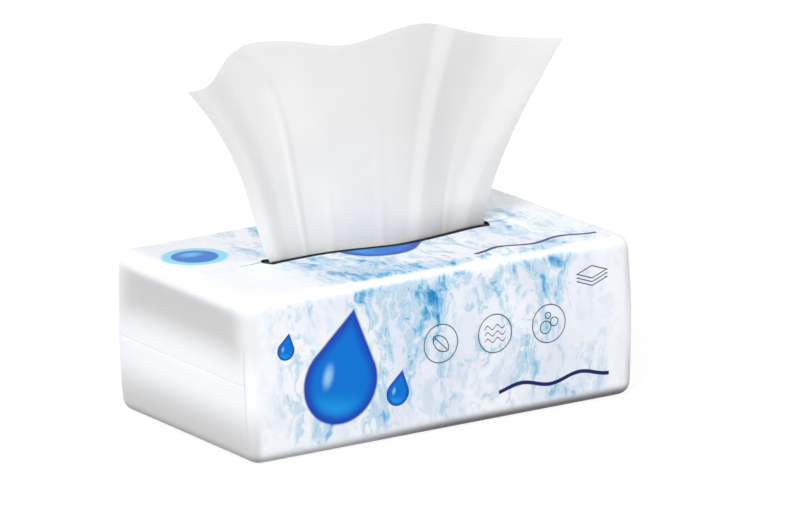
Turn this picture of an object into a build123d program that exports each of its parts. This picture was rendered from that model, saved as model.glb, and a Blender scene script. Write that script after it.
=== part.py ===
from build123d import *
import math
import os

# Soft film pack of interfolded paper towels, with one towel drawn up through the slot.
# Sizes are millimetres. +Z is up and the origin is at the middle of the base. The long side
# runs along X and the front face looks towards -Y.

# Towels
TOWEL_WIDTH = 208.0  # cut width of a towel, along the pack
TOWEL_THICKNESS = 0.4
FOLD_DEPTH = 120.0  # depth of the stack: a towel folded once
STACK_HEIGHT = 74.8

# Film wrapper
FILM = 0.3  # drawn thicker than real film, so that the wall stays a sound solid
EDGE_RADIUS = 8.0  # soft outer edges
END_SLACK = 0.7  # air between the cut ends of the towels and the film
SIDE_SLACK = 2.2  # air between the folded edges of the towels and the film
HEADSPACE = 3.6  # air between the stack and the top film
SEAM_BULGE = 2.0  # how far an end stands out at its lap seam, past its foot
SEAM_HEIGHT = 38.0  # lower edge of the upper end flap
LAP = 12.0  # the lower end flap reaches up behind the upper one by this much

# End folds: the flaps lie over the gussets and leave a fine line beside each corner
GUSSET_INSET = 5.5  # from the front or back face to the fold line
GUSSET_FOOT = 10.0  # lower end of the fold line
GUSSET_TOP = 56.0
GUSSET_WIDTH = 0.8
GUSSET_DEPTH = 0.12

# Slot: an S with round ends
SLOT_X = -1.5
SLOT_Y = -6.7
SLOT_LENGTH = 126.0
SLOT_WIDTH = 7.0
SLOT_END_RADIUS = 4.0
SLOT_WAVE = 5.2  # the S swings this far to the back and to the front
SLOT_TURN = -8.5  # where the S crosses its own middle line
SLOT_STATIONS = 6  # points on each half of its middle line

# Drawn towel
TOWEL_RISE = 102.0  # upper edge above the pack
TOP_SPREAD = 197.7  # width over the two upper corners
TOP_SHIFT = 3.0  # the spread towel stands this far to the right of the slot's middle
FOLD_SWING = 17.7  # how far the folds of the upper edge swing to the back
FLARE = 1.65  # power of the outward sweep: 1 is a straight fan
FLARE_LEAN = 0.15  # the left side sweeps out later than the right side
TOWEL_SETBACK = 1.2  # the towel stands this far behind the slot's middle line
FLUTE_DEPTH = 0.5  # gathers where the slot holds the towel
FLUTES = 5
PANELS = 28  # narrow flat panels across the towel, from the slot to the upper edge
LEVELS = 5  # sections between the slot and the upper edge

# Folds of the drawn towel, from its left corner to its right corner: share of the half spread,
# share of the fold swing, and share of the rise
FOLDS = (
    (-1.000, 0.492, 0.840),
    (-0.846, 0.802, 0.880),
    (-0.684, 1.000, 0.984),
    (-0.556, 0.859, 1.000),
    (-0.394, 0.435, 0.991),
    (-0.207, 0.124, 0.959),
    (0.037, 0.068, 0.986),
    (0.268, 0.124, 0.998),
    (0.428, 0.294, 0.954),
    (0.606, 0.379, 0.896),
    (0.803, 0.124, 0.859),
    (1.000, -0.243, 0.841),
)

# Part of the drawn towel that stays in the pack: it lies back over the stack, then folds under
TAIL_FOLD_INSET = 3.5  # from the folded edge of the stack
TAIL_GAP = 0.4  # between its two layers
TAIL_FRONT = 8.0  # the under layer ends this far in front of the slot
TAIL_GATHER = 7.0  # its sides are gathered in by this much

PACK_LENGTH = TOWEL_WIDTH + 2 * (END_SLACK + SEAM_BULGE + FILM)
PACK_DEPTH = FOLD_DEPTH + 2 * (SIDE_SLACK + FILM)
PACK_HEIGHT = STACK_HEIGHT + HEADSPACE + 2 * FILM
STACK_TOP = FILM + STACK_HEIGHT


def end_x(z, end_inset, upper):
    """Where an end's panel stands at a height: both panels lean out to the lap seam, equally steeply."""
    from_seam = z - SEAM_HEIGHT if upper else SEAM_HEIGHT - z
    return PACK_LENGTH / 2 - SEAM_BULGE * from_seam / SEAM_HEIGHT - end_inset


def panel_outline(inset, end_inset, upper):
    """Outline seen from the front, with both ends in line with the upper or the lower panels."""
    low = inset
    high = PACK_HEIGHT - inset
    foot_x = end_x(low, inset + end_inset, upper)
    head_x = end_x(high, inset + end_inset, upper)
    return make_face(Polyline((-foot_x, low), (foot_x, low), (head_x, high), (-head_x, high), close=True))


def soft_block(inset, end_inset, upper):
    """The pack's block with soft edges, its faces moved in by the inset."""
    block = extrude(Plane.XZ * panel_outline(inset, end_inset, upper), PACK_DEPTH / 2 - inset, both=True)
    return fillet(block.edges(), EDGE_RADIUS - inset)


def lapped_block(inset, step_z):
    """The whole block: upper panels, lower panels, and ends one film further in below the step."""
    step = Plane.XY.offset(step_z)
    seam = Plane.XY.offset(SEAM_HEIGHT)
    block = split(soft_block(inset, 0, True), bisect_by=step, keep=Keep.TOP)
    block += split(soft_block(inset, FILM, False), bisect_by=seam, keep=Keep.BOTTOM)
    if step_z > SEAM_HEIGHT:
        behind = split(soft_block(inset, FILM, True), bisect_by=step, keep=Keep.BOTTOM)
        block += split(behind, bisect_by=seam, keep=Keep.TOP)
    return block


def slot_line(x):
    """Depth of the slot's middle line: a half wave to the back, then a half wave to the front."""
    reach = x - SLOT_TURN
    lead = SLOT_TURN - SLOT_X
    half = SLOT_LENGTH / 2 + (lead if reach < 0 else -lead)
    return SLOT_Y - SLOT_WAVE * math.sin(math.pi * reach / half)


def slot_cut():
    """Prism of the slot, through the top film."""
    reach = SLOT_LENGTH / 2 - SLOT_END_RADIUS
    stations = [SLOT_X + reach * i / SLOT_STATIONS for i in range(-SLOT_STATIONS, SLOT_STATIONS + 1)]
    middle = Spline(*[(x, slot_line(x)) for x in stations])
    front = []
    back = []
    for i in range(2 * SLOT_STATIONS + 1):
        share = i / (2 * SLOT_STATIONS)
        side = middle.tangent_at(share).rotate(Axis.Z, 90) * SLOT_WIDTH / 2
        back.append(middle.position_at(share) + side)
        front.append(middle.position_at(share) - side)
    opening = make_face([
        Spline(*front),
        Line(front[-1], back[-1]),
        Spline(*back),
        Line(back[0], front[0]),
    ])
    for share in (0, 1):
        opening += Pos(middle.position_at(share)) * Circle(SLOT_END_RADIUS)
    return Pos(0, 0, PACK_HEIGHT - FILM - HEADSPACE / 2) * extrude(opening, HEADSPACE)


def gusset_lines():
    """Fine grooves beside the corners, where the end flaps lie over the gussets."""
    recess = EDGE_RADIUS - math.sqrt(EDGE_RADIUS ** 2 - (EDGE_RADIUS - GUSSET_INSET) ** 2)
    recess += GUSSET_DEPTH
    bands = []
    for low, high, inset, upper in (
        (GUSSET_FOOT, SEAM_HEIGHT, FILM + recess, False),
        (SEAM_HEIGHT, GUSSET_TOP, recess, True),
    ):
        band = make_face(Polyline(
            (end_x(low, inset, upper), low),
            (PACK_LENGTH / 2, low),
            (PACK_LENGTH / 2, high),
            (end_x(high, inset, upper), high),
            close=True,
        ))
        bands.append(extrude(Plane.XZ * band, GUSSET_WIDTH / 2, both=True))
    y = PACK_DEPTH / 2 - GUSSET_INSET
    corner = Pos(0, y, 0) * (bands[0] + bands[1])
    corner += corner.mirror(Plane.XZ)
    return corner + corner.mirror(Plane.YZ)


def film_wrapper():
    outer = lapped_block(0, SEAM_HEIGHT)
    inner = lapped_block(FILM, SEAM_HEIGHT + LAP)
    return outer - inner - slot_cut() - gusset_lines()


def towel_stack():
    block = Box(TOWEL_WIDTH, FOLD_DEPTH, STACK_HEIGHT, align=(Align.CENTER, Align.CENTER, Align.MIN))
    return Pos(0, 0, FILM) * fillet(block.edges(), EDGE_RADIUS - FILM)


def upper_edge():
    """Upper edge of the towel: one wavy line from its left corner to its right corner."""
    middle = SLOT_X + TOP_SHIFT
    return Spline(*[
        (middle + side * TOP_SPREAD / 2, SLOT_Y + back * FOLD_SWING, PACK_HEIGHT + rise * TOWEL_RISE)
        for side, back, rise in FOLDS
    ])


def held_point(share):
    """Point of the towel in the slot, gathered into small flutes."""
    x = SLOT_X + share * (SLOT_LENGTH / 2 - SLOT_END_RADIUS / 2)
    flute = FLUTE_DEPTH * math.cos(math.pi * FLUTES * share)
    return Vector(x, slot_line(x) + TOWEL_SETBACK + flute, PACK_HEIGHT)


def towel_level(edge, climb):
    """Level section of the towel: a thin ribbon that spreads from the slot to the upper edge."""
    front = []
    for i in range(PANELS + 1):
        share = 2 * i / PANELS - 1
        held = held_point(share)
        free = edge.position_at(i / PANELS)
        t = climb / (free.Z - held.Z)
        sweep = t ** (FLARE - FLARE_LEAN * share)
        x = held.X + (free.X - held.X) * sweep
        y = held.Y + (free.Y - held.Y) * (t + sweep) / 2
        front.append((x, y))
    rear = [(x, y + TOWEL_THICKNESS) for x, y in reversed(front)]
    return make_face(Polyline(*front, *rear, close=True))


def above_edge(edge):
    """Prism of all that lies above the towel's upper edge, whose line runs on past both corners."""
    points = [edge.position_at(i / PANELS) for i in range(PANELS + 1)]
    before = points[0] * 2 - points[1]
    after = points[-1] * 2 - points[-2]
    line = [(p.X, p.Z) for p in (before, *points, after)]
    left, left_z = line[0]
    right, right_z = line[-1]
    high = PACK_HEIGHT + 2 * TOWEL_RISE
    round_it = Polyline(
        (right, right_z),
        (TOP_SPREAD, right_z),
        (TOP_SPREAD, high),
        (-TOP_SPREAD, high),
        (-TOP_SPREAD, left_z),
        (left, left_z),
    )
    return extrude(Plane.XZ * make_face([Spline(*line), round_it]), PACK_DEPTH, both=True)


def drawn_sheet(foot_z):
    """The towel above the pack, from its foot inside the pack, cut along its upper edge."""
    edge = upper_edge()
    sections = []
    for i in range(LEVELS + 1):
        climb = TOWEL_RISE * i / LEVELS
        sections.append(Pos(0, 0, PACK_HEIGHT + climb) * towel_level(edge, climb))
    foot = Pos(0, 0, foot_z) * extrude(towel_level(edge, 0), PACK_HEIGHT - foot_z)
    return foot + loft(sections) - above_edge(edge)


def towel_tail(under_z, over_z):
    """Two layers over the stack, joined by a fold at the back."""
    fold_y = FOLD_DEPTH / 2 - TAIL_FOLD_INSET
    over_front = SLOT_Y - SLOT_WAVE
    under_front = over_front - TAIL_FRONT
    turn = ((over_z - under_z) / 2, (under_z + over_z) / 2)
    path = Wire([
        Line((under_front, under_z), (fold_y, under_z)),
        ThreePointArc((fold_y, under_z), (fold_y + turn[0], turn[1]), (fold_y, over_z)),
        Line((fold_y, over_z), (over_front, over_z)),
    ])
    half_width = TOWEL_WIDTH / 2 - TAIL_GATHER
    return extrude(Plane.YZ * trace(path, TOWEL_THICKNESS), half_width, both=True)


def drawn_towel():
    under_z = STACK_TOP + TOWEL_THICKNESS / 2
    over_z = under_z + TOWEL_THICKNESS + TAIL_GAP
    return drawn_sheet(over_z) + towel_tail(under_z, over_z)


NODES = {
    "film_wrapper": film_wrapper,
    "towel_stack": towel_stack,
    "drawn_towel": drawn_towel,
}

os.makedirs("parts", exist_ok=True)
for name, make in NODES.items():
    export_step(make(), f"parts/{name}.step")
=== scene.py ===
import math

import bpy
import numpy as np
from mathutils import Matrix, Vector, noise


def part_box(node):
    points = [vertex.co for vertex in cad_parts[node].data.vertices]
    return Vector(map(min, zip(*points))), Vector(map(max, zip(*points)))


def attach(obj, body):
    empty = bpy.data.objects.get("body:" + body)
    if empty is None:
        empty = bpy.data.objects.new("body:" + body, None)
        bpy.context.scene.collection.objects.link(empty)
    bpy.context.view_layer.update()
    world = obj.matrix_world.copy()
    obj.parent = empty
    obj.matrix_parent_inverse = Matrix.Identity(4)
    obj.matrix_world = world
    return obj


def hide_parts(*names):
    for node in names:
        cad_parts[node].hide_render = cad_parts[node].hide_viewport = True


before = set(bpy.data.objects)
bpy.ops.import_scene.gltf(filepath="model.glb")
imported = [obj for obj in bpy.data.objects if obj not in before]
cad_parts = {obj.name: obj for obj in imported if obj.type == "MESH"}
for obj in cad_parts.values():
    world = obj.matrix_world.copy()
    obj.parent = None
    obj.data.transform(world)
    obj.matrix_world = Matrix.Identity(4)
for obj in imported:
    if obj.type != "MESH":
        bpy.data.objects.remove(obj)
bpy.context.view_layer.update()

# %% [markdown]
# # A soft pack of paper towels
# The real object is a thin printed film, folded round a stack of folded paper towels. One towel is
# drawn up through an S-shaped slot in the top. The CAD frame is loaded above: it gives the sizes,
# and the pieces made here stand for its soft nodes. The stack of towels keeps its CAD shape and
# only gets a finish.
# The frame's box is kept now, for the pack's sizes.

MM = 0.001
film_low, film_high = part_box("film_wrapper")
LENGTH, DEPTH, HEIGHT = film_high - film_low
print("pack", [round(v / MM, 1) for v in (LENGTH, DEPTH, HEIGHT)], "mm")

# %% [markdown]
# ## The camera
# The pack is seen from the front left and a little from above, through a long lens, so its edges
# run almost parallel. The camera is placed by the direction it looks in and by its distance from
# the point in the middle of the picture. A small roll brings the upright edges to the right slope.

# %% Camera
LOOK_AT = Vector((16.51, -1.12, 69.10)) * MM
CAMERA_DISTANCE = 3777.7 * MM
CAMERA_TURN = math.radians(-31.909)
CAMERA_DOWN = math.radians(14.715)
CAMERA_ROLL = math.radians(-1.150)
LENS = 355.6
SENSOR = 36.0
FAR_LIMIT = 50.0

bpy.ops.object.select_all(action="DESELECT")
bpy.ops.object.camera_add()
camera = bpy.context.object
camera.name = "camera"
camera.data.sensor_width = SENSOR
camera.data.lens = LENS
camera.data.clip_end = FAR_LIMIT
toward = Vector((-math.sin(CAMERA_TURN) * math.cos(CAMERA_DOWN),
                 math.cos(CAMERA_TURN) * math.cos(CAMERA_DOWN),
                 -math.sin(CAMERA_DOWN)))
camera.location = LOOK_AT - toward * CAMERA_DISTANCE
aimed = toward.to_track_quat("-Z", "Y").to_matrix()
camera.rotation_euler = (aimed @ Matrix.Rotation(CAMERA_ROLL, 3, "Z")).to_euler()
bpy.context.scene.camera = camera
print("camera at", [round(v, 3) for v in camera.location])

# %% [markdown]
# ## Finishes as sums
# A finish is a material with nodes. Wiring each Math node by hand hides the idea, so one small
# class stands for a socket: plus, minus and the rest on it add the Math node that does the sum.
# Every other node comes from one method, which takes its type, its settings and its sockets.


# %% Sockets that can be added and multiplied
class Wire:
    """One output socket of a finish."""

    def __init__(self, finish, node, out):
        self.finish = finish
        self.node = node
        self.socket = node.outputs[out]

    def out(self, name):
        return Wire(self.finish, self.node, name)

    def sum(self, operation, *values):
        return self.finish.add("Math", {"operation": operation}, dict(enumerate(values)))

    def __add__(self, other):
        return self.sum("ADD", self, other)

    def __sub__(self, other):
        return self.sum("SUBTRACT", self, other)

    def __rsub__(self, other):
        return self.sum("SUBTRACT", other, self)

    def __mul__(self, other):
        return self.sum("MULTIPLY", self, other)

    def __truediv__(self, other):
        return self.sum("DIVIDE", self, other)

    def __pow__(self, other):
        return self.sum("POWER", self, other)

    def __abs__(self):
        return self.sum("ABSOLUTE", self)

    __radd__ = __add__
    __rmul__ = __mul__


# %% The nodes of a finish
class Finish:
    """The nodes of one material or of the world."""

    def __init__(self, owner):
        owner.use_nodes = True
        self.owner = owner
        self.tree = owner.node_tree

    def add(self, kind, settings, sockets, out=0):
        node = self.tree.nodes.new("ShaderNode" + kind)
        for name, value in settings.items():
            setattr(node, name, value)
        self.fill(node, sockets)
        return Wire(self, node, out)

    def fill(self, node, sockets):
        for name, value in sockets.items():
            if isinstance(value, Wire):
                self.tree.links.new(value.socket, node.inputs[name])
            else:
                node.inputs[name].default_value = value

    def ease(self, value, start, end):
        """0 before start, 1 after end, and a smooth step between them."""
        return self.add("MapRange", {"interpolation_type": "SMOOTHSTEP"},
                        {"Value": value, "From Min": start, "From Max": end})

    def blend(self, share, under, over):
        """A colour laid over another by a share."""
        return self.add("Mix", {"data_type": "RGBA"}, {0: share, 6: under, 7: over}, 2)

    def noise(self, place, scale, detail=2.0, rough=0.5):
        return self.add("TexNoise", {}, {"Vector": place, "Scale": scale, "Detail": detail,
                                         "Roughness": rough})

    def place(self):
        return self.add("TexCoord", {}, {}, "Object")


# %% Colours
def tint(red, green, blue):
    """A colour given as it looks on a screen, 0 to 255, made linear."""
    return tuple((v / 255 / 12.92 if v < 11 else ((v / 255 + 0.055) / 1.055) ** 2.4)
                 for v in (red, green, blue)) + (1.0,)


print("a screen grey of 230 is", round(tint(230, 230, 230)[0], 3), "in linear light")

# %% [markdown]
# ## The room
# The object stands on a plain white floor in an even white surround. Both are white to the camera
# by the Light Path node, so no extra light has to fall on the object to make them white. A share
# of the floor's own shading keeps a faint shadow under the pack.

# %% Floor
FLOOR_SIZE = 12.0
FLOOR_DROP = 0.2 * MM
FLOOR_SHADE = 0.25
FLOOR_TONE = 0.5
FLOOR_GLOW = 1.20


def seen_directly(finish):
    """1 for rays from the camera, also by way of gloss or glass, and 0 for light on the object."""
    rays = finish.add("LightPath", {}, {}, "Is Camera Ray")
    mirrored = rays + rays.out("Is Glossy Ray") + rays.out("Is Transmission Ray")
    return mirrored.sum("MINIMUM", mirrored, 1.0)


bpy.ops.object.select_all(action="DESELECT")
bpy.ops.mesh.primitive_plane_add(size=FLOOR_SIZE, location=(0.0, 0.0, -FLOOR_DROP))
floor = bpy.context.object
floor.name = "floor"
bpy.ops.object.transform_apply(location=True, rotation=True, scale=True)
floor_white = Finish(bpy.data.materials.new("floor_white"))
floor_nodes = floor_white.tree.nodes
floor_nodes.remove(floor_nodes["Principled BSDF"])
matt = floor_white.add("BsdfDiffuse", {}, {"Color": (FLOOR_TONE, FLOOR_TONE, FLOOR_TONE, 1.0)})
glow = floor_white.add("Emission", {}, {"Strength": FLOOR_GLOW})
glow_share = seen_directly(floor_white) * (1 - FLOOR_SHADE)
shown = floor_white.add("MixShader", {}, {0: glow_share, 1: matt, 2: glow})
floor_white.fill(floor_nodes["Material Output"], {"Surface": shown})
floor.data.materials.append(floor_white.owner)
print("floor", FLOOR_SIZE, "m wide")

# %% Surround
SURROUND = 0.43

scene = bpy.context.scene
scene.world = bpy.data.worlds.new("studio")
surround = Finish(scene.world)
strength = seen_directly(surround) * (1 - SURROUND) + SURROUND
surround.fill(surround.tree.nodes["Background"],
              {"Color": (1.0, 1.0, 1.0, 1.0), "Strength": strength})
scene.view_settings.view_transform = "Standard"
print("surround lights the object at", SURROUND)

# %% [markdown]
# ## The lamps
# Film and paper look soft under large lamps and hard under small ones, so three area lamps stand
# round the pack: a strong one at the front left, and weaker ones at the right and at the back. The
# lamp at the back stays out of the gloss, because its mirror image would hide the print on the top.
# White film needs a light level of about one, at which a colour renders as it is written.

# %% Lamps
LAMP_AIM = Vector((0.0, 0.0, 0.08))
# Place and size in metres, and power in watts.
LAMPS = {
    "lamp_left": ((-2.6, -2.0, 2.1), 1.5, 102.0),
    "lamp_right": ((2.2, -1.9, 1.4), 1.6, 31.0),
    "lamp_back": ((-0.6, 3.2, 1.0), 2.0, 48.0),
}
for name, (spot, size, watts) in LAMPS.items():
    bpy.ops.object.light_add(type="AREA", location=spot)
    lamp = bpy.context.object
    lamp.name = name
    lamp.data.size = size
    lamp.data.energy = watts
    aim = LAMP_AIM - Vector(spot)
    lamp.rotation_euler = aim.to_track_quat("-Z", "Y").to_euler()
    lamp.visible_glossy = name != "lamp_back"
    print(name, "at", spot, "with", watts, "W")

# %% [markdown]
# ## The film wrapper: a block with cuts
# The film is one sheet wrapped round a block of paper, so it starts as a cube at the pack's size.
# A form as soft as this could be a subdivided cage, but folds and a slot need points at known
# places. The block is bisected many times instead: close cuts near the edges, where the film
# bends, and wider ones between. Two cuts along the top are the two lips of the slot.

# %% The plain block
SEAM_BULGE = 2.0 * MM
SIDE_BULGE = 1.0 * MM

half_block = Vector((LENGTH / 2 - SEAM_BULGE, DEPTH / 2 - SIDE_BULGE, HEIGHT / 2))
bpy.ops.object.select_all(action="DESELECT")
bpy.ops.mesh.primitive_cube_add(size=2.0)
film = bpy.context.object
film.name = "film"
film.scale = half_block
bpy.ops.object.transform_apply(location=True, rotation=True, scale=True)
print("block", [round(2 * v / MM, 1) for v in half_block], "mm")

# %% Places of the cuts
SEAM_HEIGHT = 38.0 * MM
GUSSET_LINE = DEPTH / 2 - 5.5 * MM
SLOT_X = -1.0 * MM
SLOT_Y = -6.7 * MM
SLOT_LENGTH = 125.0 * MM
SLOT_HALF = 2.0 * MM
EDGE_STEPS = np.arange(1.0, 10.5, 1.0) * MM
WIDE_STEP = 3.0 * MM
LEAST_STEP = 0.9 * MM
# Steps in mm: past each end of the slot, out from each lip, about the corner folds and the seam.
SLOT_END_STEPS = (-12.0, -9.0, -7.0, -5.5, -4.0, -3.0, -2.0, -1.2, -0.5, 0.0, 1.2, 3.0)
LIP_STEPS = (0.0, 0.8, 1.8, 3.2, 5.0)
GUSSET_STEPS = (-0.25, 0.0, 0.25)
SEAM_STEPS = (-1.0, -0.3, 0.0, 0.35, 1.2)
SIDES = (-1, 1)


def cut_places(reach, extra):
    """Places of the cuts from -reach to reach: close at both ends, and at the extra places."""
    edge = reach - EDGE_STEPS
    inner = edge[-1]
    middle = np.linspace(-inner, inner, round(2 * inner / WIDE_STEP) + 1)[1:-1]
    clear = [v for v in middle if min(abs(v - e) for e in extra) > LEAST_STEP]
    return sorted([*edge, *-edge, *clear, *extra])


slot_end_cuts = [SLOT_X + side * (SLOT_LENGTH / 2 + step * MM)
                 for side in SIDES for step in SLOT_END_STEPS]
lip_cuts = [SLOT_Y + side * (SLOT_HALF + step * MM) for side in SIDES for step in LIP_STEPS]
gusset_cuts = [side * GUSSET_LINE + step * MM for side in SIDES for step in GUSSET_STEPS]
seam_cuts = [SEAM_HEIGHT - HEIGHT / 2 + step * MM for step in SEAM_STEPS]
cuts = (cut_places(half_block.x, slot_end_cuts),
        cut_places(half_block.y, lip_cuts + gusset_cuts),
        cut_places(half_block.z, seam_cuts))
print("cuts along x, y and z:", [len(c) for c in cuts])

# %% Cutting the block
bpy.ops.object.mode_set(mode="EDIT")
for axis, places in enumerate(cuts):
    across = Vector([float(axis == i) for i in range(3)])
    for place in places:
        bpy.ops.mesh.select_all(action="SELECT")
        bpy.ops.mesh.bisect(plane_co=across * float(place), plane_no=across, threshold=1e-6)
bpy.ops.object.mode_set(mode="OBJECT")
print("film block:", len(film.data.polygons), "faces")

# %% [markdown]
# ## Opening the slot
# The slot is cut through the top of the real film. A Boolean could cut it here, but it would leave
# long thin triangles along the lips. So the faces between the two lips are selected by their place
# and deleted. At this stage the slot is a straight strip with square ends; it gets its S and its
# round ends with the rest of the shaping.

# %% Select faces by place, and delete them
FACING_UP = 0.9


def select_faces(piece, wanted):
    """In edit mode, exactly the faces whose middle and normal are wanted are selected."""
    bpy.ops.object.mode_set(mode="EDIT")
    bpy.ops.mesh.select_mode(type="FACE")
    bpy.ops.mesh.select_all(action="DESELECT")
    bpy.ops.object.mode_set(mode="OBJECT")
    chosen = [wanted(face.center, face.normal) for face in piece.data.polygons]
    piece.data.polygons.foreach_set("select", chosen)
    bpy.ops.object.mode_set(mode="EDIT")
    return sum(chosen)


def in_slot(middle, normal):
    return (normal.z > FACING_UP and abs(middle.y - SLOT_Y) < SLOT_HALF
            and abs(middle.x - SLOT_X) < SLOT_LENGTH / 2)


opened = select_faces(film, in_slot)
bpy.ops.mesh.delete(type="FACE")
bpy.ops.object.mode_set(mode="OBJECT")
print("slot:", opened, "faces taken out")

# %% [markdown]
# ## Soft edges
# Film has no sharp edge. A Bevel modifier would round the edges all alike, but on a wrapped pack
# the corners are fuller than the rolls along the top of its ends. So each point is pulled to a
# rounded block: the nearest point of a smaller inner block, plus the edge radius. A power above
# two makes the round fuller, nearer to a square corner.


# %% Points of a mesh as an array, and a smooth curve through places
def get_points(piece):
    flat = np.empty(len(piece.data.vertices) * 3)
    piece.data.vertices.foreach_get("co", flat)
    return flat.reshape(-1, 3)


def set_points(piece, points):
    piece.data.vertices.foreach_set("co", points.ravel())
    piece.data.update()


def eased(value, places, levels):
    """A curve that rests at each level and moves smoothly between them."""
    spot = np.clip(np.searchsorted(places, value) - 1, 0, len(places) - 2)
    start, end = np.take(places, spot), np.take(places, spot + 1)
    t = np.clip((value - start) / (end - start), 0.0, 1.0)
    t = t * t * (3 - 2 * t)
    return np.take(levels, spot) * (1 - t) + np.take(levels, spot + 1) * t


print("film:", len(get_points(film)), "points to shape")

# %% The rounded block
EDGE_RADIUS = 8.0 * MM
CORNER_POWER = 2.7
ROUND_POWER = 2
ROLL_UP = 0.4
ROLL_ASIDE = 0.7

flat_points = get_points(film)
half = np.array(half_block)
core = np.clip(flat_points, EDGE_RADIUS - half, half - EDGE_RADIUS)
outward = flat_points - core
outward /= np.linalg.norm(outward, axis=1, keepdims=True)
end_roll = np.clip(outward[:, 2] / ROLL_UP, 0, 1)
end_roll *= np.clip(1 - np.abs(outward[:, 1]) / ROLL_ASIDE, 0, 1)
power = CORNER_POWER - (CORNER_POWER - ROUND_POWER) * end_roll
fuller = (np.abs(outward) ** power[:, None]).sum(axis=1) ** (-1 / power)
points = core + outward * (fuller * EDGE_RADIUS)[:, None]
points[:, 2] += HEIGHT / 2
x, y, z = points.T
print("corners stand out to", round(float(fuller.max() * EDGE_RADIUS) / MM, 2), "mm from the core")

# %% [markdown]
# ## Folded ends and loose panels
# At each end the film is folded in at the corners, and an upper flap laps over a lower one at the
# seam. The end rolls over at the top, sinks in below that roll, stands out at the seam and draws
# in at the foot: four soft waves up its height, added to one wide bulge. The flap is a small step
# with a groove under it. The front and the back bow out a little, and some noise makes the film
# lie as loosely as it does on paper.

# %% Ends of the film
SEAM_REACH = 0.53 * HEIGHT
# Rise, height of the middle and half width, in mm: roll, hollow, belly and foot.
END_WAVES = (
    (1.6, 73.0, 4.0),
    (-1.9, 55.0, 8.5),
    (0.7, 23.0, 11.0),
    (-0.3, 0.0, 10.0),
)
FLAP_STEP = 0.35 * MM
FLAP_START = 0.1 * MM
SEAM_GROOVE = 0.25 * MM
GUSSET_DEPTH = 0.25 * MM
GUSSET_WIDTH = 0.2 * MM

waves_out = sum(rise * MM * np.exp(-((z - level * MM) / (width * MM)) ** 2)
                for rise, level, width in END_WAVES)
between_corners = eased(np.abs(y) / MM, (36.0, 58.0), (1.0, 0.0))
end_out = SEAM_BULGE * (1 - ((z - SEAM_HEIGHT) / SEAM_REACH) ** 2) + waves_out * between_corners
flap = (z > SEAM_HEIGHT + FLAP_START) - np.exp(-((z - SEAM_HEIGHT) / SEAM_GROOVE) ** 2)
flap *= FLAP_STEP * eased(np.abs(y) / MM, (54.0, 58.0), (1.0, 0.0))
gusset = GUSSET_DEPTH * np.exp(-((np.abs(y) - GUSSET_LINE) / GUSSET_WIDTH) ** 2)
gusset *= eased(z / MM, (8.0, 14.0, 52.0, 58.0), (0.0, 1.0, 1.0, 0.0))
end_share = np.sqrt(np.abs(outward[:, 0])) * np.sign(outward[:, 0])
print("ends stand out by up to", round(float(end_out.max()) / MM, 2), "mm")

# %% Bowed sides and loose film
BOW_POWER = 6
# Size of each noise and its height, in metres.
LOOSE = ((0.038, 0.35 * MM), (0.011, 0.10 * MM))

side_bow = SIDE_BULGE * eased(z / MM, (0.0, 40.0, 79.0), (0.0, 1.0, 0.0))
side_bow *= 1 - np.clip(np.abs(x) / (LENGTH / 2), 0, 1) ** BOW_POWER
loose = np.array([sum(noise.noise(Vector(p) / size) * rise for size, rise in LOOSE)
                  for p in points])
loose *= eased(outward[:, 2], (-0.9, -0.3), (0.0, 1.0))
shaped = points + outward * loose[:, None]
shaped[:, 0] += end_share * (end_out + flap - gusset)
shaped[:, 1] += outward[:, 1] * side_bow
print("loose film moves by up to", round(float(np.abs(loose).max()) / MM, 2), "mm")

# %% [markdown]
# ## The S of the slot
# The slot is cut in an S, so that the towel is held in a curve and stands up. The straight strip
# is moved sideways to that line, and the film near it goes along, less and less with distance. The
# two lips close in a round at each end, and the back lip stands up a little. Each point keeps two
# numbers as attributes, its distance from the slot's edge and from its middle line, which the
# finish uses later.

# %% The line of the slot
SLOT_END_RADIUS = 2.6 * MM
SLOT_BENDS = np.array(((-64.5, -4.1), (-37.0, -2.6), (8.0, -9.7), (58.0, -2.8))) * MM
TIP_CLOSING = 10.0 * MM
SPREAD_REACH = 8.0 * MM
LIP_LIFT = 0.3 * MM
LIP_REACH = 6.0 * MM
TOP_FACING = 0.99
OFF_TOP = 1.0


def slot_line(x):
    """Depth of the slot's middle line: an S that swings to the front in the middle of the pack."""
    return eased(x, *SLOT_BENDS.T)


reach = np.abs(x - SLOT_X) - (SLOT_LENGTH / 2 - SLOT_END_RADIUS)
round_end = np.sqrt(np.clip(SLOT_END_RADIUS ** 2 - reach ** 2, 0, None))
lip = np.where(reach > 0, round_end, np.maximum(SLOT_HALF, round_end))
past_tip = SLOT_HALF * np.clip((reach - SLOT_END_RADIUS) / TIP_CLOSING, 0, 1)
lip = np.where(reach > SLOT_END_RADIUS - 1e-7, past_tip, lip)
from_middle = y - SLOT_Y
spread = np.clip(1 - (np.abs(from_middle) - SLOT_HALF) / SPREAD_REACH, 0, 1)
spread *= np.sign(from_middle)
near_slot = eased(np.abs(from_middle) / MM, (8.0, 42.0), (1.0, 0.0))
shift = (slot_line(x) - SLOT_Y) * near_slot + spread * (lip - SLOT_HALF)
print("slot moves by up to", round(float(np.abs(shift).max()) / MM, 1), "mm")

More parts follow.
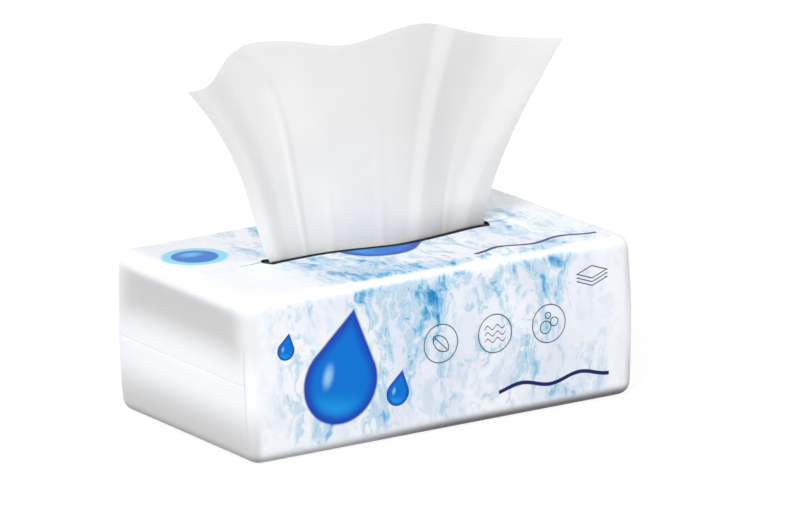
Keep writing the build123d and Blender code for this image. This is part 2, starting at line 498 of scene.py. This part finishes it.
# %% Shaping the slot
on_top = outward[:, 2] > TOP_FACING
shaped[:, 1] += np.where(on_top, shift, 0.0)
across = shaped[:, 1] - slot_line(x)
beyond = np.hypot(np.maximum(reach, 0.0), across)
gap = np.where(reach > 0, beyond - SLOT_END_RADIUS, np.abs(across) - lip)
lip_lift = LIP_LIFT * (across > 0) * np.exp(-(np.clip(gap, 0, None) / LIP_REACH) ** 2)
shaped[:, 2] += np.where(on_top, lip_lift, 0.0)
set_points(film, shaped)
for name, values in (("slot_gap", gap), ("slot_across", across)):
    layer = film.data.attributes.new(name, "FLOAT", "POINT")
    layer.data.foreach_set("value", np.where(on_top, values, OFF_TOP).astype(np.float32))
print("film box", [round(float(v) / MM, 1) for v in (shaped.max(0) - shaped.min(0))], "mm")

# %% [markdown]
# ## The film's thickness
# Points that now lie on each other at the two tips of the slot are merged. The film then gets its
# thickness inwards with a Solidify modifier, so that the lips show a real edge, and smooth shading.

# %% Thickness of the film
FILM = 0.3 * MM
MERGE = 0.01 * MM
SMOOTH_ANGLE = math.radians(50)

bpy.ops.object.mode_set(mode="EDIT")
bpy.ops.mesh.select_all(action="SELECT")
bpy.ops.mesh.remove_doubles(threshold=MERGE)
bpy.ops.object.mode_set(mode="OBJECT")
wall = film.modifiers.new("wall", "SOLIDIFY")
wall.thickness = FILM
wall.offset = -1.0
bpy.ops.object.modifier_apply(modifier="wall")
bpy.ops.object.shade_smooth_by_angle(angle=SMOOTH_ANGLE)
print("film:", len(film.data.polygons), "faces with its inner side")

# %% [markdown]
# ## The drawn towel
# A towel is a thin soft sheet, so it starts as a flat grid with many rows and columns. Its rows
# follow the sheet from its hidden end over the stack, round a fold, up through the slot and out to
# its upper edge. A simulated sheet would fall over, because a real towel stands by its own folds;
# here each row is placed by the folds that hold it up.

# %% The grid of the towel
FREE_ROWS = 84
NECK_ROWS = 6
OVER_ROWS = 16
FOLD_ROWS = 8
UNDER_ROWS = 14
COLUMNS = 150

row_count = UNDER_ROWS + FOLD_ROWS + OVER_ROWS + NECK_ROWS + FREE_ROWS
bpy.ops.object.select_all(action="DESELECT")
bpy.ops.mesh.primitive_grid_add(x_subdivisions=COLUMNS, y_subdivisions=row_count, size=2.0)
towel = bpy.context.object
towel.name = "towel"
grid = get_points(towel)
share = grid[:, 0]
row = np.rint((grid[:, 1] + 1) / 2 * row_count).astype(int)
print("towel grid:", len(grid), "points in", row_count + 1, "rows")

# %% [markdown]
# ## The upper edge
# The edge of a limp sheet has no kinks. It could be a Blender curve, but its points are needed at
# even shares of the length, because paper doesn't stretch along its edge. So a natural cubic, a
# line with steady bends, is laid through a few corners and crests and then read evenly.

# %% A smooth line through points, even along its length
FINE_STEPS = 2000


def smooth_line(knots, shares):
    """Natural cubic through the knots, read at shares of its length."""
    knots = np.array(knots)
    steps = np.linalg.norm(np.diff(knots, axis=0), axis=1)
    at = np.concatenate(([0.0], np.cumsum(steps)))
    slopes = np.diff(knots, axis=0) / steps[:, None]
    count = len(knots)
    system = np.eye(count)
    right = np.zeros_like(knots)
    for i in range(1, count - 1):
        system[i, i - 1:i + 2] = steps[i - 1], 2 * (steps[i - 1] + steps[i]), steps[i]
        right[i] = 6 * (slopes[i] - slopes[i - 1])
    bend = np.linalg.solve(system, right)
    fine = np.linspace(0.0, at[-1], FINE_STEPS)
    i = np.clip(np.searchsorted(at, fine) - 1, 0, count - 2)
    h = steps[i][:, None]
    a = (at[i + 1] - fine)[:, None]
    b = (fine - at[i])[:, None]
    line = (bend[i] * a ** 3 + bend[i + 1] * b ** 3) / (6 * h)
    line += (knots[i] / h - bend[i] * h / 6) * a + (knots[i + 1] / h - bend[i + 1] * h / 6) * b
    along = np.concatenate(([0.0], np.cumsum(np.linalg.norm(np.diff(line, axis=0), axis=1))))
    return np.stack([np.interp(shares * along[-1], along, line[:, k]) for k in range(3)], axis=-1)


print("smooth lines are measured in", FINE_STEPS, "steps")

# %% The towel's upper edge
TOWEL_RISE = 102.0 * MM
TOP_SPREAD = 197.7 * MM
TOP_SHIFT = 2.5 * MM
FOLD_SWING = 17.7 * MM
# Shares of half the spread to the side, of the swing to the back, and of the rise.
UPPER_EDGE = (
    (-1.020, 0.470, 0.845),
    (-0.846, 0.802, 0.880),
    (-0.684, 1.000, 0.984),
    (-0.556, 0.859, 1.000),
    (-0.394, 0.435, 0.991),
    (-0.207, 0.124, 0.959),
    (0.037, 0.068, 0.986),
    (0.268, 0.124, 0.998),
    (0.428, 0.270, 0.954),
    (0.606, 0.315, 0.896),
    (0.803, 0.124, 0.859),
    (1.000, -0.243, 0.841),
)

corners = [(SLOT_X + TOP_SHIFT + side * TOP_SPREAD / 2,
            SLOT_Y + back * FOLD_SWING,
            HEIGHT + rise * TOWEL_RISE) for side, back, rise in UPPER_EDGE]
upper = smooth_line(corners, (share + 1) / 2)
print("upper edge", round(float(np.ptp(upper[:, 0])) / MM, 1), "mm wide")

# %% [markdown]
# ## The flare and its creases
# The towel is narrow where the slot holds it and wide at its upper edge, so each row between them
# spreads further than the one below. Creases run up from the foot: each is a ridge with a sharp
# crest, and it may lean, bow sideways and change its height on the way up.

# %% The towel above the slot
FLARE = 1.65
FLARE_LEAN = 0.15
LEFT_LEAN = 0.97
TOWEL_SETBACK = 1.1 * MM
HELD_X = SLOT_X + 1.2 * MM
HELD_REACH = SLOT_LENGTH / 2 - 2.0 * MM
FOOT_FADE = 0.3
# Place at the foot and at the top as shares of half the width, width to the left and to the right,
# rise at the foot and at the top in mm, and sideways bow.
CREASES = (
    (-0.93, -0.93, 0.08, 0.45, 0.0, 3.4, 0.0),
    (-0.92, -0.90, 0.30, 0.13, 2.6, 2.2, 0.0),
    (-0.64, -0.65, 0.03, 0.05, 0.8, 1.3, 0.65),
    (-0.40, -0.40, 0.05, 0.06, 0.9, 0.0, 0.0),
    (-0.01, -0.01, 0.05, 0.06, 0.8, 0.0, 0.0),
    (0.31, 0.45, 0.10, 0.25, 1.3, 2.6, 0.0),
    (0.58, 0.64, 0.04, 0.04, -0.5, 0.0, 0.0),
    (0.80, 1.05, 0.16, 0.20, 2.0, 1.3, 0.0),
)

held_x = HELD_X + share * HELD_REACH
held = np.stack([held_x, slot_line(held_x) + TOWEL_SETBACK, np.full_like(share, HEIGHT)], axis=-1)
t = np.clip((row - (row_count - FREE_ROWS)) / FREE_ROWS, 0.0, 1.0)
sweep = t ** (FLARE - FLARE_LEAN * share)
sweep += LEFT_LEAN * np.clip(-share, 0, 1) ** 2 * t * (1 - t) ** 3
fade = np.exp(-t / FOOT_FADE)
forward = np.zeros_like(share)
for foot_share, top_share, left, right, foot_rise, top_rise, bow in CREASES:
    off = share - foot_share - (top_share - foot_share) * t - bow * t ** 3 * (1 - t)
    crest = np.interp(off, (-left, 0.0, right), (0.0, 1.0, 0.0))
    crest = (crest + crest * crest * (3 - 2 * crest)) / 2
    forward += crest * (foot_rise * fade + top_rise * (1 - fade)) * MM
sheet = held + (upper - held) * np.stack([sweep, (t + sweep) / 2, t], axis=-1)
sheet[:, 1] -= forward
print("creases stand out by up to", round(float(forward.max()) / MM, 1), "mm")

# %% [markdown]
# ## The hidden tail
# Half of the towel is still in the pack. From the slot it turns down to the stack, lies back over
# it as an upper layer, folds round and returns below as an under layer. Little of it is seen, but
# a sheet that stopped at the slot would hang from nothing. Each stretch of rows has its own sums,
# and the sheet widens from its gathered neck to its flat layers.

# %% Neck, upper layer, fold and under layer
stack_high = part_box("towel_stack")[1]
UNDER_Z = stack_high.z + 0.25 * MM
OVER_Z = UNDER_Z + 0.9 * MM
FOLD_Y = 56.0 * MM
UNDER_FRONT = -18.0 * MM
TAIL_REACH = 100.0 * MM
NECK_TURN = 1.2 * MM

neck_row = row - (row_count - FREE_ROWS - NECK_ROWS)
n = np.clip(neck_row / NECK_ROWS, 0.0, 1.0)
neck_y = held[:, 1] - forward * n + NECK_TURN * (1 - np.sin(n * np.pi / 2))
neck_z = OVER_Z + (HEIGHT - OVER_Z) * np.where(n > 0, 1 - np.cos(n * np.pi / 2), 0.0)
over = np.clip((row - UNDER_ROWS - FOLD_ROWS) / OVER_ROWS, 0.0, 1.0)
over_y = FOLD_Y + (held[:, 1] + NECK_TURN - FOLD_Y) * over
fold = np.clip((row - UNDER_ROWS) / FOLD_ROWS, 0.0, 1.0)
fold_y = FOLD_Y + (OVER_Z - UNDER_Z) / 2 * np.sin(fold * np.pi)
fold_z = (UNDER_Z + OVER_Z) / 2 - (OVER_Z - UNDER_Z) / 2 * np.cos(fold * np.pi)
under = np.clip(row / UNDER_ROWS, 0.0, 1.0)
under_y = UNDER_FRONT + (FOLD_Y - UNDER_FRONT) * under
gather = over * over * (3 - 2 * over)
tail_x = share * TAIL_REACH + (held_x - share * TAIL_REACH) * gather
print("under layer", round(float(FOLD_Y - UNDER_FRONT) / MM, 1), "mm deep")

# %% The whole sheet
below = row < row_count - FREE_ROWS
stretches = [row < UNDER_ROWS,
             row < UNDER_ROWS + FOLD_ROWS,
             row < UNDER_ROWS + FOLD_ROWS + OVER_ROWS]
tail_y = np.select(stretches, [under_y, fold_y, over_y], neck_y)
tail_z = np.select(stretches, [UNDER_Z, fold_z, OVER_Z], neck_z)
sheet = np.where(below[:, None], np.stack([tail_x, tail_y, tail_z], axis=-1), sheet)
set_points(towel, sheet)
print("towel box", [round(float(v) / MM, 1) for v in (sheet.max(0) - sheet.min(0))], "mm")

# %% [markdown]
# ## The thickness of the paper
# Torn and cut tissue has no square rim: its fibres thin out to nothing. A Solidify modifier gives
# the sheet its thickness, and a vertex group tells it to make the sheet thin along its four edges.
# Shading is smooth only up to an angle, so that the rim doesn't draw a dark line along the edge.

# %% Thickness of the paper
PAPER = 0.35 * MM
RIM_WIDTH = 0.03
RIM_SHARE = 0.12

from_edge = 1 - np.maximum(np.abs(grid[:, 0]), np.abs(grid[:, 1]))
thin_edge = towel.vertex_groups.new(name="thin_edge")
for index, weight in enumerate(np.clip(from_edge / RIM_WIDTH, RIM_SHARE, 1.0)):
    thin_edge.add([index], float(weight), "REPLACE")
ply = towel.modifiers.new("ply", "SOLIDIFY")
ply.thickness = PAPER
ply.offset = 0.0
ply.vertex_group = thin_edge.name
bpy.ops.object.modifier_apply(modifier="ply")
bpy.ops.object.shade_smooth_by_angle(angle=SMOOTH_ANGLE)
print("towel:", len(towel.data.polygons), "faces")

# %% [markdown]
# ## Towel paper
# Towel paper is matt and white, with a fine nap and a faint emboss of small dots. It could be one
# flat white, but then its folds look like plastic. A noise and a Voronoi pattern feed a Bump node
# instead, and a second noise shifts the white a little. Near the slot, where the paper is gathered,
# shade is painted into the colour: the foot is greyer, most of all to the right.

# %% Finish of the towel
NAP_SCALE = 900.0
DOT_SCALE = 330.0
TONE_SCALE = 30.0
PAINTED_SHADE_TOP = 96.0 * MM
PAINTED_SHADE_FOOT = 79.0 * MM

towel_paper = Finish(bpy.data.materials.new("towel_paper"))
spot = towel_paper.place()
nap = towel_paper.noise(spot, NAP_SCALE, 3.0, 0.6)
dots = towel_paper.add("TexVoronoi", {}, {"Vector": spot, "Scale": DOT_SCALE}, "Distance")
relief = nap * 0.7 + towel_paper.ease(dots, 0.1, 0.5) * 0.3
relief = towel_paper.add("Bump", {}, {"Strength": 0.14, "Distance": 0.1 * MM, "Height": relief})
tone = towel_paper.ease(towel_paper.noise(spot, TONE_SCALE, 2.0), 0.35, 0.65)
white = towel_paper.blend(tone, tint(226, 225, 225), tint(230, 229, 229))
towel_x = towel_paper.add("SeparateXYZ", {}, {"Vector": spot}, "X")
# Painted shade: the towel's foot is greyer near the slot, most of all to the right.
painted_foot_shade = towel_paper.ease(towel_x.out("Z"), PAINTED_SHADE_TOP, PAINTED_SHADE_FOOT)
painted_foot_shade = painted_foot_shade * (towel_paper.ease(towel_x, -10.0 * MM, 45.0 * MM) * 0.7 + 0.12)
white = towel_paper.blend(painted_foot_shade, white, tint(190, 189, 190))
towel_paper.fill(towel_paper.tree.nodes["Principled BSDF"],
                 {"Base Color": white, "Roughness": 0.85, "Normal": relief})
towel.data.materials.append(towel_paper.owner)
print("towel paper:", len(towel_paper.tree.nodes), "nodes")

# %% [markdown]
# ## The edges of the stack
# The stack is hardly seen, only through the slot, so it stays the plain CAD block. Its sheets lie
# flat, and each shows as a thin level line of painted shade in the gap between sheets. Hundreds of
# real sheets would cost much and show nothing, so a sine of the height paints the lines, and a
# little noise lets them wander.

# %% Finish of the stack
PLY = 0.75 * MM
WANDER_SCALE = 60.0

stacked_paper = Finish(bpy.data.materials.new("stacked_paper"))
spot = stacked_paper.place()
lift = stacked_paper.add("SeparateXYZ", {}, {"Vector": spot}, "Z")
wander = stacked_paper.noise(spot, WANDER_SCALE, 2.0) * (2 * PLY)
lines = lift.sum("SINE", (lift + wander) * (2 * math.pi / PLY))
lines = stacked_paper.ease(lines, -1.0, 0.2)
# Painted shade: the grey of the level lines stands for the shade between sheets; the lines also
# feed the bump.
white = stacked_paper.blend(lines, tint(196, 196, 198), tint(232, 232, 232))
relief = stacked_paper.add("Bump", {}, {"Strength": 0.3, "Distance": 0.2 * MM, "Height": lines})
stacked_paper.fill(stacked_paper.tree.nodes["Principled BSDF"],
                   {"Base Color": white, "Roughness": 0.9, "Normal": relief})
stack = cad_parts["towel_stack"]
stack.data.materials.clear()
stack.data.materials.append(stacked_paper.owner)
print("stacked paper:", len(stacked_paper.tree.nodes), "nodes")

# %% [markdown]
# ## The printed film
# The film is white with a watery wash of blues: cloudy blots with upright streaks, strongest in the
# middle of each panel and fading to white at the edges and the ends. Along the top front edge the
# print is left out over the roll, a painted highlight. Masks come first. They say where the front,
# the top and the ends are, and how strong the print is at each place.

# %% Where the film is printed
printed_film = Finish(bpy.data.materials.new("printed_film"))
spot = printed_film.place()
along = printed_film.add("SeparateXYZ", {}, {"Vector": spot}, "X")
depth, height = along.out("Y"), along.out("Z")
ease = printed_film.ease
blend = printed_film.blend
on_front = ease(depth, -57.0 * MM, -58.5 * MM)
on_top_face = ease(height, 75.5 * MM, 77.0 * MM)
on_end = ease(abs(along), 99.0 * MM, 103.0 * MM)
# Painted highlight: the print is left out along the middle of the top front roll.
painted_highlight_edge = ease(height - depth, 135.3 * MM, 137.0 * MM)
print_area = ease(abs(along), 105.0 * MM, 98.5 * MM) * ease(height, 3.0 * MM, 10.0 * MM)
print_area = print_area * (1 - painted_highlight_edge)
middle = ease(along, -104.0 * MM, -70.0 * MM) * ease(along, 112.0 * MM, 40.0 * MM)
middle = middle * (1 - on_top_face * ease(along, -30.0 * MM, -75.0 * MM))
print("print area:", len(printed_film.tree.nodes), "nodes")

# %% [markdown]
# ## White film and its ends
# Thin film over white paper looks white along the front and the top. At the ends, between the
# folds, the film gets painted shade in two grey bands, one in the hollow above the seam and one at
# the foot.

# %% Tone of the bare film
FILM_WHITE = tint(247, 249, 253)
END_SHADE_GREY = tint(210, 210, 211)

# Painted shade: two grey bands on the ends, in the hollow above the seam and at the foot.
painted_end_shade = ease(height, 78.5 * MM, 66.0 * MM) * ease(height, 38.5 * MM, 58.0 * MM)
painted_end_shade = painted_end_shade * (ease(abs(depth), 61.0 * MM, 44.0 * MM) * 0.6 + 0.4)
ink = blend(on_end * painted_end_shade, FILM_WHITE, END_SHADE_GREY)
ink = blend(on_end * ease(height, 31.0 * MM, 7.0 * MM), ink, END_SHADE_GREY)
print("bare film:", len(printed_film.tree.nodes), "nodes so far")

# %% [markdown]
# ## The wash of blues
# Noise gives the blots. Its place is unrolled first, height plus depth, so that the wash runs on
# from the front over the edge onto the top, as one printed web does. Squeezing that place along
# the height draws the blots out to streaks, and stirring it with another noise makes their edges
# wander. Each wash is one blue, laid where its noise lies between two levels.

# %% Noises on the unrolled film
STIR = Vector((0.022, 0.030, 0.022))

stir = printed_film.noise(spot, 40.0, 3.0).out("Color")
stir = printed_film.add("VectorMath", {"operation": "MULTIPLY_ADD"},
                        {0: stir, 1: STIR, 2: -STIR / 2})


def web(squeeze):
    """Place on the unrolled film, squeezed along the streaks and stirred."""
    unrolled = {"X": along, "Y": (height + depth) * squeeze, "Z": depth * 0.3}
    flat = printed_film.add("CombineXYZ", {}, unrolled)
    return printed_film.add("VectorMath", {"operation": "ADD"}, {0: flat, 1: stir})


loose_web = web(0.5)
blot = printed_film.noise(loose_web, 30.0, 5.0, 0.6)
cloud = printed_film.noise(loose_web, 19.0, 4.0, 0.55)
fleck = printed_film.noise(loose_web, 170.0, 5.0, 0.65)
streak = printed_film.noise(web(0.16), 210.0, 5.0, 0.62)
print("web of noises:", len(printed_film.tree.nodes), "nodes so far")

# %% Washes
TIDE_LEVEL = 0.528

pale = streak * 0.5 + fleck * 0.5
body = blot * 0.50 + streak * 0.32 + fleck * 0.18 + on_top_face * 0.022
tide = abs(body - TIDE_LEVEL)
broken = middle * ease(pale, 0.42, 0.55)
# Noise, the two levels it fades in between, strength and colour.
WASHES = (
    (cloud, 0.42, 0.62, middle * 0.55 + 0.10, tint(216, 224, 242)),
    (pale, 0.47, 0.58, middle * 0.55 + 0.12, tint(204, 222, 240)),
    (body, 0.49, 0.58, middle * 0.8, tint(174, 210, 234)),
    (body, 0.545, 0.595, broken, tint(106, 182, 220)),
    (body, 0.585, 0.640, broken, tint(40, 132, 198)),
    (tide, 0.008, 0.002, middle * 0.45, tint(116, 198, 216)),
)
for source, start, end, strength, colour in WASHES:
    ink = blend(ease(source, start, end) * print_area * strength, ink, colour)
print("wash of", len(WASHES), "blues")

# %% [markdown]
# ## Shapes drawn on the film
# A printed shape needs no picture: a sum gives each place its distance from the shape's outline,
# and a narrow step of that distance is a clean edge at any zoom. The few helpers below turn a
# place, measure an oval, join shapes by the least or the most of two distances, and fill or draw
# an outline.

# %% Sums for flat shapes
SOFT_EDGE = 0.12 * MM


def turned(u, v, angle):
    """The two distances, turned by an angle."""
    c, s = math.cos(math.radians(angle)), math.sin(math.radians(angle))
    return u * c + v * s, v * c - u * s


def oval(u, v, half_u, half_v):
    """1 on the edge of an oval, less inside it."""
    return ((u / half_u) ** 2 + (v / half_v) ** 2) ** 0.5


def least(first, *others):
    for other in others:
        first = first.sum("MINIMUM", first, other)
    return first


def most(first, *others):
    for other in others:
        first = first.sum("MAXIMUM", first, other)
    return first


def filled(distance):
    """1 inside an outline, with a soft printed edge."""
    return ease(distance, SOFT_EDGE, -SOFT_EDGE)


def stroke(distance, half_width):
    return filled(abs(distance) - half_width)


print("printed edges fade over", 2 * SOFT_EDGE / MM, "mm")

# %% [markdown]
# ## Drops of water
# A large drop and two small ones are printed on the front, and one more lies on the top, with the
# slot running through it. A drop is a circle with two straight sides drawn out to a tip. Three
# blends make it look wet: a dark rim, a light belly and a shine.


# %% Drawing a drop
def drop(u, v, radius, tip):
    """Distance from the outline of a drop: a circle with two straight sides up to its tip."""
    sine = radius / tip
    cosine = math.sqrt(1 - sine * sine)
    ball = oval(u, v, 1.0, 1.0) - radius
    side = abs(u) * cosine + v * sine - radius
    above = v * cosine - abs(u) * sine
    return ball + (side - ball) * above.sum("GREATER_THAN", above, 0.0)


def water_drop(under, u, v, radius, tip, where):
    """A blue drop with a dark rim, a light belly and a shine."""
    edge = drop(u, v, radius, tip)
    blue = blend(ease(edge, -0.03 * radius, -0.34 * radius), tint(22, 70, 182), tint(0, 116, 212))
    belly = ease(v, -0.15 * radius, -0.85 * radius) * ease(edge, -0.10 * radius, -0.45 * radius)
    blue = blend(belly, blue, tint(32, 164, 232))
    shine = oval(u + 0.38 * radius, v - 0.12 * radius, 0.20 * radius, 0.42 * radius)
    blue = blend(ease(shine, 1.0, 0.1) * 0.75, blue, tint(168, 222, 248))
    return blend(ease(edge, 0.035 * radius, -0.035 * radius) * where, under, blue)


# %% The drops
# The panel's second direction and mask, then place, radius and tip in metres, and turn in degrees.
DROPS = (
    (height, on_front, -0.0580, 0.0330, 0.0200, 0.0350, -14.0),
    (height, on_front, -0.0270, 0.0230, 0.0062, 0.0112, -14.0),
    (height, on_front, -0.0870, 0.0530, 0.0046, 0.0084, -14.0),
    (depth, on_top_face, -0.0045, -0.0080, 0.0205, 0.0370, -78.0),
)
for upward, panel, drop_x, drop_up, radius, tip, angle in DROPS:
    u, v = turned(along - drop_x, upward - drop_up, angle)
    ink = water_drop(ink, u, v, radius, tip, panel)
print("drops:", len(DROPS))

# %% [markdown]
# ## Rings with small signs
# Three thin rings stand in a row on the front, each with a plain sign: a leaf, waves and bubbles.
# They could be curves made into meshes, but ink on film has no thickness. Each sign is a distance
# of its own, so the ring and its sign are drawn together as one stroke.

# %% Three signs
RING_Z = 43.0 * MM
RING_RADIUS = 9.2 * MM
LINE = 0.26 * MM
LEAF_RADIUS = 6.2 * MM
LEAF_OFFSET = 3.0 * MM
WAVE_RATE = 1150.0
# Place and radius of each bubble, in metres.
BUBBLES = ((-0.0018, -0.0016, 0.0030), (0.0030, 0.0006, 0.0021), (-0.0004, 0.0040, 0.0015))


def leaf(u, v):
    a, b = turned(u, v, 45.0)
    blade = most(oval(a - LEAF_OFFSET, b, LEAF_RADIUS, LEAF_RADIUS),
                 oval(a + LEAF_OFFSET, b, LEAF_RADIUS, LEAF_RADIUS))
    return least(abs(blade - 1.0) * LEAF_RADIUS, most(abs(a), abs(b) - 4.6 * MM))


def waves(u, v):
    swell = v - u.sum("SINE", u * WAVE_RATE) * (1.0 * MM)
    return most(least(abs(swell), abs(abs(swell) - 3.1 * MM)), abs(u) - 5.5 * MM)


def bubbles(u, v):
    return least(*[abs(oval(u - a, v - b, r, r) - 1.0) * r for a, b, r in BUBBLES])


RINGS = ((leaf, -3.0 * MM), (waves, 27.0 * MM), (bubbles, 57.0 * MM))
for sign, ring_x in RINGS:
    u, v = along - ring_x, height - RING_Z
    marks = least(abs(oval(u, v, 1.0, 1.0) - RING_RADIUS), sign(u, v))
    ink = blend(stroke(marks, LINE) * on_front, ink, tint(60, 66, 92))
print("rings:", len(RINGS))

# %% [markdown]
# ## Wavy rules and a pile of sheets
# A dark wavy rule runs along the front and another along the top. Both are the same sum: the
# distance from a sine, cut off at two ends. The small pile near the right edge of the front is
# three flat diamonds, and the lower two show only their front sides.

# %% Rules
NAVY = tint(24, 32, 96)
RULE_RATE = 190.0


def wavy_rule(across, middle_x, half_length, swing, half_width):
    swell = along.sum("SINE", along * RULE_RATE) * swing
    return most(abs(across - swell) - half_width, abs(along - middle_x) - half_length)


front_rule = wavy_rule(height - 15.0 * MM, 60.0 * MM, 31.0 * MM, 1.6 * MM, 0.95 * MM)
ink = blend(filled(front_rule) * on_front, ink, NAVY)
top_rule = wavy_rule(depth + 47.0 * MM, 59.0 * MM, 34.0 * MM, 2.2 * MM, 1.3 * MM)
ink = blend(filled(top_rule) * on_top_face, ink, NAVY)
print("rules:", len(printed_film.tree.nodes), "nodes so far")

# %% Pile of sheets
PILE_X = 82.0 * MM
PILE_Z = 60.5 * MM
SHEETS = 3
SHEET_STEP = 1.8 * MM
SHEET_HALF = 3.0 * MM
SHEET_SLOPE = 0.36

pile_x = abs(along - PILE_X)
pile_width = ease(pile_x, 9.4 * MM, 9.0 * MM)
for step in range(SHEETS):
    lift = height - PILE_Z - SHEET_STEP * step
    sheet_line = abs(pile_x * SHEET_SLOPE + abs(lift) - SHEET_HALF)
    if step < SHEETS - 1:
        sheet_line = most(sheet_line, lift)
    ink = blend(stroke(sheet_line, LINE) * pile_width * on_front, ink, NAVY)
print("pile of", SHEETS, "sheets")

# %% [markdown]
# ## Seal and shaded foot
# A round blue seal is printed at the left of the top: two discs and a shine. Along the foot the
# film turns in under the pack, where little light comes, so shade is painted there, darkest along
# the right part of the front.

# %% Round seal
SEAL_X = -83.5 * MM
SEAL_Y = 24.5 * MM
SEAL_RADIUS = 16.0 * MM

seal_x, seal_y = along - SEAL_X, depth - SEAL_Y
seal = oval(seal_x, seal_y, SEAL_RADIUS, SEAL_RADIUS)
ink = blend(ease(seal, 1.05, 0.92) * on_top_face, ink, tint(140, 222, 246))
ink = blend(ease(seal, 0.74, 0.66) * on_top_face, ink, tint(0, 112, 206))
shine = oval(seal_x, seal_y - 4.0 * MM, 8.5 * MM, 6.0 * MM)
ink = blend(ease(shine, 1.0, 0.2) * on_top_face * 0.7, ink, tint(110, 205, 245))
print("seal", round(2 * SEAL_RADIUS / MM, 1), "mm wide")

# %% Shaded foot
# Painted shade: the film is darker along its foot, and much darker along the right part of the
# front.
painted_under_shade = ease(height, 6.0 * MM, 1.5 * MM)
ink = blend(painted_under_shade * 0.6, ink, tint(150, 152, 158))
shaded_foot = ease(height, 7.5 * MM, 1.0 * MM) * on_front * ease(along, -70.0 * MM, 10.0 * MM)
ink = blend(shaded_foot * 0.9, ink, tint(84, 86, 94))
print("shaded foot:", len(printed_film.tree.nodes), "nodes so far")

# %% [markdown]
# ## The slot's lip, its tear line and the corner folds
# Along the slot's edge a dark band of painted shade stands for the shadow inside the pack. It is
# wider in front of the towel than behind it. A fine tear line runs on from both ends of the slot,
# where the film would open further. Both read the two attributes that the shaping left on the film.
# Two faint upright grey lines at each end are painted shade in the creases of the corner folds.

# %% Lip, tear line and corner folds
SLOT_SHADE_BACK = 0.6 * MM
SLOT_SHADE_FRONT_EXTRA = 2.8 * MM
TEAR_HALF = 0.34 * MM
FOLD_LINE = 0.25 * MM

gap = printed_film.add("Attribute", {"attribute_name": "slot_gap"}, {}, "Fac")
across = printed_film.add("Attribute", {"attribute_name": "slot_across"}, {}, "Fac")
from_slot = abs(along - SLOT_X)
tear = stroke(across, TEAR_HALF) * ease(from_slot, 76.0 * MM, 74.0 * MM)
ink = blend(tear * 0.75, ink, tint(96, 108, 124))
# Painted shade: a dark band along the slot's edge stands for the shadow inside the pack, widest in
# front.
in_front = ease(across, 0.4 * MM, -1.6 * MM) * ease(from_slot, 62.8 * MM, 60.0 * MM)
lip = ease(gap - (in_front * SLOT_SHADE_FRONT_EXTRA + SLOT_SHADE_BACK), 0.4 * MM, -0.1 * MM)
ink = blend(lip, ink, tint(26, 30, 36))
# Painted shade: a faint grey line in the crease of each corner fold on the ends.
fold_crease_shade = stroke(abs(depth) - GUSSET_LINE, FOLD_LINE) * on_end
fold_crease_shade = fold_crease_shade * ease(height, 8.0 * MM, 14.0 * MM) * ease(height, 58.0 * MM, 50.0 * MM)
ink = blend(fold_crease_shade * 0.5, ink, tint(196, 197, 200))
print("lip, tear line and corner folds:", len(printed_film.tree.nodes), "nodes so far")

# %% [markdown]
# ## Gloss of the film
# The film has a soft gloss, neither a mirror nor matt, and it is never quite flat. A Coat layer
# would add a second, harder shine, so the gloss comes from the roughness alone. A wide, low ripple
# in a Bump node breaks up the reflections. The band of painted shade at the slot's lip is rougher
# than the rest, so that it stays dark from every side.

# %% Gloss
RIPPLE_SCALE = 70.0
FILM_ROUGHNESS = 0.36
LIP_ROUGHER = 0.5
FILM_SPECULAR = 0.15

ripple = printed_film.noise(spot, RIPPLE_SCALE, 2.0)
ripple = printed_film.add("Bump", {}, {"Strength": 0.10, "Distance": 1.0 * MM, "Height": ripple})
printed_film.fill(printed_film.tree.nodes["Principled BSDF"],
                  {"Base Color": ink, "Roughness": lip * LIP_ROUGHER + FILM_ROUGHNESS,
                   "Specular IOR Level": FILM_SPECULAR, "Normal": ripple})
film.data.materials.append(printed_film.owner)
print("film finish:", len(printed_film.tree.nodes), "nodes")

# %% [markdown]
# ## Handing over
# Each new piece rides on the part's one body and stands for its CAD node, which is hidden.

# %% Hand over
PIECES = (
    (film, "film_wrapper", "printed_film"),
    (towel, "drawn_towel", "towel_paper"),
)

for piece, node, slot in PIECES:
    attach(piece, "root")
    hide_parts(node)
